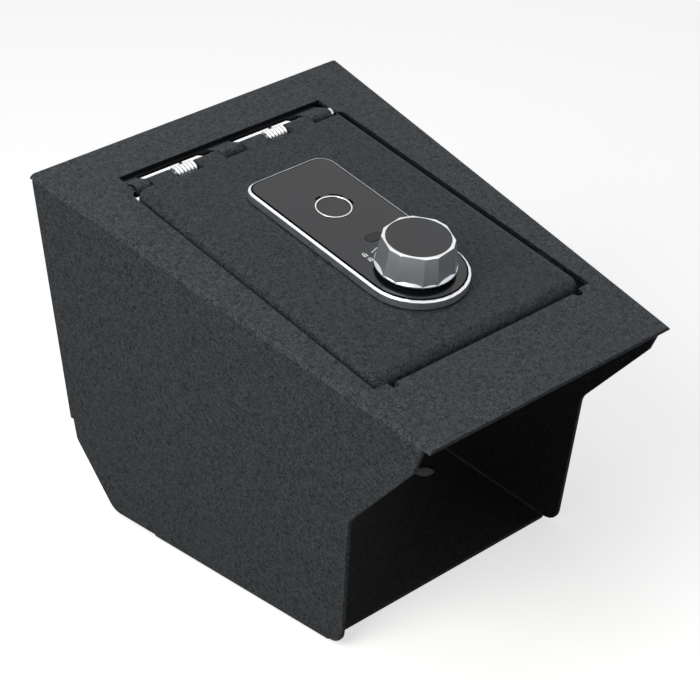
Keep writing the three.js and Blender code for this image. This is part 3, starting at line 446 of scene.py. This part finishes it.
def metal(name, color, roughness, spread, size=HAZE, scratch=0.0):
    """Bare metal with a haze of a size in metres. Its scratches have a depth in millimetres."""
    material, maker = new_finish(name)
    haze = noise(maker, own_place(maker), size, detail=3.0, rough=0.6)
    sockets = {
        "Base_Color": tinted(maker, color, varied(maker, haze, *METAL_TONES)),
        "Metallic": 1.0,
        "Roughness": varied(maker, haze, roughness - spread, roughness + spread),
    }
    if scratch:
        fine = noise(maker, own_place(maker), size / SCRATCHES_IN_HAZE)
        sockets["Normal"] = bump(maker, fine, scratch * MM)
    shader(maker, **sockets)
    return material


bright = metal("bright steel", STEEL_COLOR, roughness=0.18, spread=0.05)
dressed("hinge_pin", "body", "steel", bright, edge=0.3)


# Torsion springs
# Two close coils of spring wire on the pin, in the gaps of the lid's knuckles. One leg presses on the
# lid's underside, the other reaches under the frame's leaf, and the turns twist as the lid opens.
SPRING_COLOR = (0.9, 0.91, 0.93)
SPRING_WIRE = 0.72
SPRING_RADIUS = 2.93
SPRING_TURNS = 6
TURN_STEPS = 24
LEG_SPAN = 12.0
LEG_BOW = 1
LEG_GAP = 0.2
HINGE_ALONG = 208.4
HINGE_HEIGHT = -1.45
LID_UNDERSIDE = -0.2
LEAF_UNDERSIDE = -3.8
WIRE_ROUNDNESS = 4
WIRE_SMOOTH = math.radians(60)


def spring(side):
    """Winds a spring from the leg under the lid to the leg under the leaf."""
    low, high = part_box("torsion_spring_" + side)
    start = low.x / MM + SPRING_WIRE
    end = high.x / MM - SPRING_WIRE
    lid_seat = LID_UNDERSIDE - SPRING_WIRE - LEG_GAP
    leaf_seat = LEAF_UNDERSIDE - SPRING_WIRE - LEG_GAP
    bend = (start, HINGE_ALONG - LEG_SPAN / 2, lid_seat - LEG_BOW)
    points = [(start, HINGE_ALONG - LEG_SPAN, lid_seat), bend]
    steps = SPRING_TURNS * TURN_STEPS
    for step in range(steps + 1):
        angle = 2 * math.pi * step / TURN_STEPS - math.pi / 2
        across = start + (end - start) * step / steps
        along = HINGE_ALONG + SPRING_RADIUS * math.cos(angle)
        points.append((across, along, HINGE_HEIGHT + SPRING_RADIUS * math.sin(angle)))
    points.append((end, HINGE_ALONG + LEG_SPAN, leaf_seat))
    line = bpy.data.curves.new("torsion_spring_" + side, "CURVE")
    line.dimensions = "3D"
    line.bevel_depth = SPRING_WIRE * MM
    line.bevel_resolution = WIRE_ROUNDNESS
    line.use_fill_caps = True
    path = line.splines.new("POLY")
    path.points.add(len(points) - 1)
    for knot, point in zip(path.points, points):
        knot.co = (*on_plate(*point), 1)
    wound = bpy.data.objects.new("torsion_spring_%s_shown" % side, line)
    bpy.context.scene.collection.objects.link(wound)
    take(wound)
    bpy.ops.object.convert(target="MESH")
    bpy.ops.object.shade_smooth_by_angle(angle=WIRE_SMOOTH)
    wound = bpy.context.object
    wound.data.materials.clear()
    wound.data.materials.append(spring_steel)
    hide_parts("torsion_spring_" + side)
    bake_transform(wound)


spring_steel = metal("spring steel", SPRING_COLOR, roughness=0.34, spread=0.04)
spring("left")
spring("right")


# Gasket
# A thin rubber gasket seals the lock module against the lid. It is pressed flat and shows as a black
# line round the foot.
GASKET_TOP = (2.5, 3.0, 0.4)


def lowered(piece, *steps):
    """Moves corners down. Each step holds two heights over the plate and the drop between them."""
    for corner in piece.data.vertices:
        place = in_plate(corner.co)
        for low, high, drop in steps:
            if low < place.z < high:
                corner.co = on_plate(place.x, place.y, place.z - drop)
                break


gasket = dressed("bezel_gasket", "lid", "rubber", rubber, edge=0.15)
lowered(gasket, GASKET_TOP)


# Bezel
# A cast and machined surround with a satin side. Its upper edge is cut aslant and polished, and shows as
# a bright line round the glass. The inside is black.
SATIN_COLOR = (0.80, 0.82, 0.85)
POLISHED_COLOR = (0.86, 0.87, 0.88)
DEEP_BLACK = (0.003, 0.003, 0.004)
LOCK_HALF = 24.0
LOCK_REAR = 175.0
KNOB_ALONG = 86.0
INSIDE_FROM = 3.4
INSIDE_FACING = 0.3
CUT_TILT = (0.4, 0.97)
BEZEL_FOOT = (3.0, 3.4, 0.55)
CUT_FOOT = (5.4, 5.8, -0.45)
CUT_MIDDLE = (6.1, 6.4, -0.1)
CUT_TOP = (6.6, 7.0, 0.1)


def cut_edge(place, normal):
    """The faces of the upper edge that is cut aslant."""
    return CUT_TILT[0] < normal.z < CUT_TILT[1]


def walls_inside(place, normal):
    """The walls that face the lock's middle line and the floor between them."""
    middle = min(max(place.y, KNOB_ALONG), LOCK_REAR - LOCK_HALF)
    inward = Vector((-place.x, middle - place.y, 0)).normalized()
    return place.z > INSIDE_FROM and (normal.dot(inward) > INSIDE_FACING or normal.z > CUT_TILT[1])


satin = metal("satin silver", SATIN_COLOR, roughness=0.30, spread=0.05)
polished = metal("polished metal", POLISHED_COLOR, roughness=0.07, spread=0.02)
deep_black = moulded("deep black", DEEP_BLACK, roughness=0.8, grain=0.5, depth=0.01, gloss=0.03)
bezel = dressed("lock_bezel", "lid", "satin", satin, edge=0.15, smooth=20)
second_finish(bezel, polished, cut_edge)
second_finish(bezel, deep_black, walls_inside)
lowered(bezel, BEZEL_FOOT, CUT_FOOT, CUT_MIDDLE, CUT_TOP)


# Glass
# The lock's top is a black-backed glass panel. It is uniformly dark and mirrors the surroundings, and its
# polish has a very faint waviness. It lies in the bezel with a narrow black joint round it.
GLASS_COLOR = (0.005, 0.007, 0.011)
GLASS_TONES = (0.8, 1.2)
GLASS_ROUGHNESS = (0.05, 0.09)
GLASS_IOR = 1.54
WAVE = 25 * MM
PANEL_TOP = 7.0
PANEL_SIDE = 0.5
LOCK_CORNER = 8.0
GLASS_EDGE = 1.75
BORDER = 0.35
FILM = 0.04


def black_glass():
    material, maker = new_finish("black glass")
    wave = noise(maker, own_place(maker), WAVE, detail=1.0)
    shader(
        maker,
        Base_Color=tinted(maker, GLASS_COLOR, varied(maker, wave, *GLASS_TONES)),
        Roughness=varied(maker, wave, *GLASS_ROUGHNESS),
        IOR=GLASS_IOR,
    )
    return material


def panel_sides(place, normal):
    """All but the panel's top face."""
    return normal.z < PANEL_SIDE


def flat_shape(name, outlines, height, finish, body, slot):
    """A film on a face parallel to the plate, from closed outlines in millimetres. Inner ones are holes."""
    line = bpy.data.curves.new(name, "CURVE")
    line.dimensions = "2D"
    line.fill_mode = "BOTH"
    line.extrude = FILM / 2 * MM
    for outline in outlines:
        path = line.splines.new("POLY")
        path.points.add(len(outline) - 1)
        path.use_cyclic_u = True
        for knot, (x, along) in zip(path.points, outline):
            knot.co = (x * MM, along * MM, 0, 1)
    shape = bpy.data.objects.new(name, line)
    bpy.context.scene.collection.objects.link(shape)
    take(shape)
    bpy.ops.object.convert(target="MESH")
    shape = bpy.context.object
    shape.data.transform(plate_frame @ Matrix.Translation((0, 0, (height + FILM / 2) * MM)))
    return finished(shape, body, slot, finish)


def arc(centre, radius, start, end, steps=16):
    """Points in millimetres along an arc, from one angle in degrees to the other."""
    angles = [math.radians(start + (end - start) * step / steps) for step in range(steps + 1)]
    return [(centre[0] + radius * math.cos(a), centre[1] + radius * math.sin(a)) for a in angles]


def lock_outline(inset):
    """The lock's outline, set in by millimetres: a half circle in front and two rounded rear corners."""
    half, corner = LOCK_HALF - inset, LOCK_CORNER - inset
    across, along = LOCK_HALF - LOCK_CORNER, LOCK_REAR - LOCK_CORNER
    front = arc((0, KNOB_ALONG), half, 180, 360, 48)
    return front + arc((across, along), corner, 0, 90) + arc((-across, along), corner, 90, 180)


glass = black_glass()
panel = dressed("lock_panel", "lid", "gloss", glass, edge=0.12)
second_finish(panel, deep_black, panel_sides)
border = [lock_outline(GLASS_EDGE), lock_outline(GLASS_EDGE + BORDER)]
flat_shape("glass_border", border, PANEL_TOP, deep_black, "lid", "black")


# Reader
# A polished ring is set round the fingerprint reader, and the sensor's black disc lies just inside it.
# Three black arcs on the panel just outside the ring's far side are painted shade of the gap there.
READER_ALONG = 139.7
SHADE_ARC_RADII = (8.55, 9.75)
SHADE_ARC_ANGLES = ((-19, 4), (24, 63), (88, 109))


def band(centre, inner, outer, start, end):
    """The outline of a piece of a ring."""
    return arc(centre, outer, start, end) + arc(centre, inner, end, start)


dressed("fingerprint_ring", "lid", "chrome", polished, edge=0.08)
dressed("fingerprint_sensor", "lid", "black", glass, edge=0.1)
# Painted shade: three black arcs flat on the panel at the ring's far side.
for number, (start, end) in enumerate(SHADE_ARC_ANGLES):
    shade_arc_outline = band((0, READER_ALONG), *SHADE_ARC_RADII, start, end)
    flat_shape("light_window_%d" % number, [shade_arc_outline], PANEL_TOP, deep_black, "lid", "black")


# Port plug
# A soft rubber pill closes the emergency power port between reader and knob. It is pushed into the port
# and can be pulled out by hand.
dressed("port_plug", "port_plug", "rubber", rubber, edge=0.25)


# Knob
# A turned and milled grip with six wide and six narrow flats, in satin chrome with a polished top edge. A
# disc of black glass is set into its top, and it runs on a black plastic ring that lies on the panel.
CHROME_COLOR = (0.66, 0.69, 0.72)
CHROME_CLOUD = 20 * MM
PLASTIC_COLOR = (0.018, 0.018, 0.020)
GRIP_TOP = 20
GRIP_TOP_TILT = 0.4


def top_of_grip(place, normal):
    """The rim round the disc and the cut edge outside it."""
    return place.z > GRIP_TOP and normal.z > GRIP_TOP_TILT


chrome = metal("satin chrome", CHROME_COLOR, roughness=0.34, spread=0.01, size=CHROME_CLOUD)
plastic = moulded("black plastic", PLASTIC_COLOR, roughness=0.42, grain=0.4, depth=0.03)
grip = dressed("knob_grip", "knob", "chrome", chrome, edge=0.1, smooth=12)
second_finish(grip, polished, top_of_grip)
dressed("knob_cap", "knob", "gloss", glass, edge=0.15)
dressed("knob_seat_ring", "lid", "black", plastic, edge=0.2)


# Printed marks
# Small signs are printed in white on the glass: an open and a closed padlock and the arc of the knob's
# turn. A short black dash on the knob's cap is its pointer.
INK_COLOR = (0.85, 0.86, 0.87)
INK_TONES = (0.95, 1.05)
INK_CLOUD = 1.5 * MM
INK_ROUGHNESS = 0.5
PADLOCK_ACROSS = -12.0
PADLOCKS = (("open", 104.9, 0.25), ("closed", 101.1, 0.0))
PADLOCK_HALF = 1.1
PADLOCK_LOW = -1.3
PADLOCK_HIGH = 0.3
KEYHOLE = 0.35
KEYHOLE_HEIGHT = -0.5
BOW_INNER = 0.5
BOW_OUTER = 0.9
BOW_HEIGHT = 0.55
LEFT_FOOT = 0.25
RIGHT_FOOT = 0.4
TURN_ARC = (20.0, 20.5, 62, 115)
CAP_TOP = 22.55
POINTER_START = 12.1
POINTER_END = 13.8
POINTER_HALF = 0.45
POINTER_ANGLE = math.radians(143.5)


def white_ink():
    """White ink, very slightly uneven."""
    material, maker = new_finish("white ink")
    cloud = noise(maker, own_place(maker), INK_CLOUD)
    color = tinted(maker, INK_COLOR, varied(maker, cloud, *INK_TONES))
    shader(maker, Base_Color=color, Roughness=INK_ROUGHNESS)
    return material


def padlock_body(x, along):
    """Outlines of a padlock's body and its round keyhole."""
    low, high = along + PADLOCK_LOW, along + PADLOCK_HIGH
    left, right = x - PADLOCK_HALF, x + PADLOCK_HALF
    keyhole = arc((x, along + KEYHOLE_HEIGHT), KEYHOLE, 0, 337.5, 15)
    return [[(left, low), (right, low), (right, high), (left, high)], keyhole]


def padlock_bow(x, along, lift):
    """The outline of a padlock's bow, which is lifted on one side when it is open."""
    middle = (x, along + BOW_HEIGHT)
    left_foot = along + LEFT_FOOT
    right_foot = along + RIGHT_FOOT + lift
    left = [(x - BOW_OUTER, left_foot), (x - BOW_INNER, left_foot)]
    right = [(x + BOW_INNER, right_foot), (x + BOW_OUTER, right_foot)]
    return arc(middle, BOW_OUTER, 0, 180) + left + arc(middle, BOW_INNER, 180, 0) + right


def pointer_dash():
    """The outline of the dash, which points away from the middle of the cap."""
    out = Vector((math.cos(POINTER_ANGLE), math.sin(POINTER_ANGLE)))
    half = Vector((-out.y, out.x)) * POINTER_HALF
    start = Vector((0, KNOB_ALONG)) + out * POINTER_START
    end = Vector((0, KNOB_ALONG)) + out * POINTER_END
    return [tuple(point) for point in (start + half, start - half, end - half, end + half)]


ink = white_ink()
for name, along, lift in PADLOCKS:
    body = padlock_body(PADLOCK_ACROSS, along)
    bow = padlock_bow(PADLOCK_ACROSS, along, lift)
    flat_shape("padlock_body_" + name, body, PANEL_TOP, ink, "lid", None)
    flat_shape("padlock_bow_" + name, [bow], PANEL_TOP, ink, "lid", None)
flat_shape("turn_arc", [band((0, KNOB_ALONG), *TURN_ARC)], PANEL_TOP, ink, "lid", None)
flat_shape("pointer", [pointer_dash()], CAP_TOP, plastic, "knob", "black")


# Spindle and latch
# The spindle runs in a brass bush and carries, from the top, a clip, a notched collar and the latch
# tongue on a square end with a screw and a washer. A small solenoid moves the locking pin. The steel
# parts are zinc plated, apart from the bright pin.
BRASS_COLOR = (0.70, 0.55, 0.28)
ZINC_COLOR = (0.52, 0.53, 0.55)
brass = metal("brass", BRASS_COLOR, roughness=0.25, spread=0.05)
zinc = metal("zinc plate", ZINC_COLOR, roughness=0.32, spread=0.08, scratch=0.01)
dressed("spindle_bush", "lid", "brass", brass, edge=0.1)
for node in ("spindle", "spindle_clip", "locking_collar", "latch_tongue", "tongue_washer", "tongue_screw"):
    dressed(node, "knob", "steel", zinc, edge=0.2)
dressed("locking_pin", "locking_pin", "steel", bright, edge=0.2)
dressed("solenoid", "lid", "steel", zinc, edge=0.2)


# Lock case
# A case moulded in black plastic under the lid, held by four screws that pass through it and the lid into
# the bezel. A sliding door closes its bay for the cells.
dressed("lock_case", "lid", "black", plastic, edge=0.25)
dressed("battery_door", "battery_door", "black", plastic, edge=0.15)
for number in (1, 2, 3, 4):
    dressed("case_screw_%d" % number, "lid", "steel", zinc, edge=0.15)


# Cells and circuit board
# Two plain cells in dark shrink sleeves lie in the bay between two sheet contacts. The circuit board above
# them is coated with green lacquer, and its copper tracks show through it a little.
SLEEVE_COLOR = (0.05, 0.055, 0.065)
SLEEVE_TONES = (0.9, 1.1)
SLEEVE_ROUGHNESS = (0.25, 0.35)
SLEEVE_CLOUD = 8 * MM
MASK_COLOR = (0.02, 0.11, 0.05)
MASK_ROUGHNESS = 0.35
TRACK = 3 * MM
TRACK_RANGE = (0.1, 0.5)
TRACK_TONES = (1.4, 0.8)


def cell_sleeve():
    """A dark shrink sleeve with no print."""
    material, maker = new_finish("cell sleeve")
    cloud = noise(maker, own_place(maker), SLEEVE_CLOUD)
    shader(
        maker,
        Base_Color=tinted(maker, SLEEVE_COLOR, varied(maker, cloud, *SLEEVE_TONES)),
        Roughness=varied(maker, cloud, *SLEEVE_ROUGHNESS),
    )
    return material


def solder_mask():
    """Green lacquer over copper tracks, which show as slightly lighter lines."""
    material, maker = new_finish("solder mask")
    sockets = {"Vector": own_place(maker), "Scale": 1 / TRACK}
    tracks = maker.node("ShaderNodeTexVoronoi", {"distance": "MANHATTAN"}, sockets)
    lines = ranged(maker, tracks, *TRACK_RANGE, *TRACK_TONES)
    shader(maker, Base_Color=tinted(maker, MASK_COLOR, lines), Roughness=MASK_ROUGHNESS)
    return material


sleeve = cell_sleeve()
for side in ("left", "right"):
    dressed("battery_" + side, "lid", "cell", sleeve, edge=0.3)
for end in ("front", "rear"):
    dressed("battery_contact_" + end, "lid", "steel", zinc, edge=0.1)
dressed("circuit_board", "lid", "board", solder_mask(), edge=0.1)
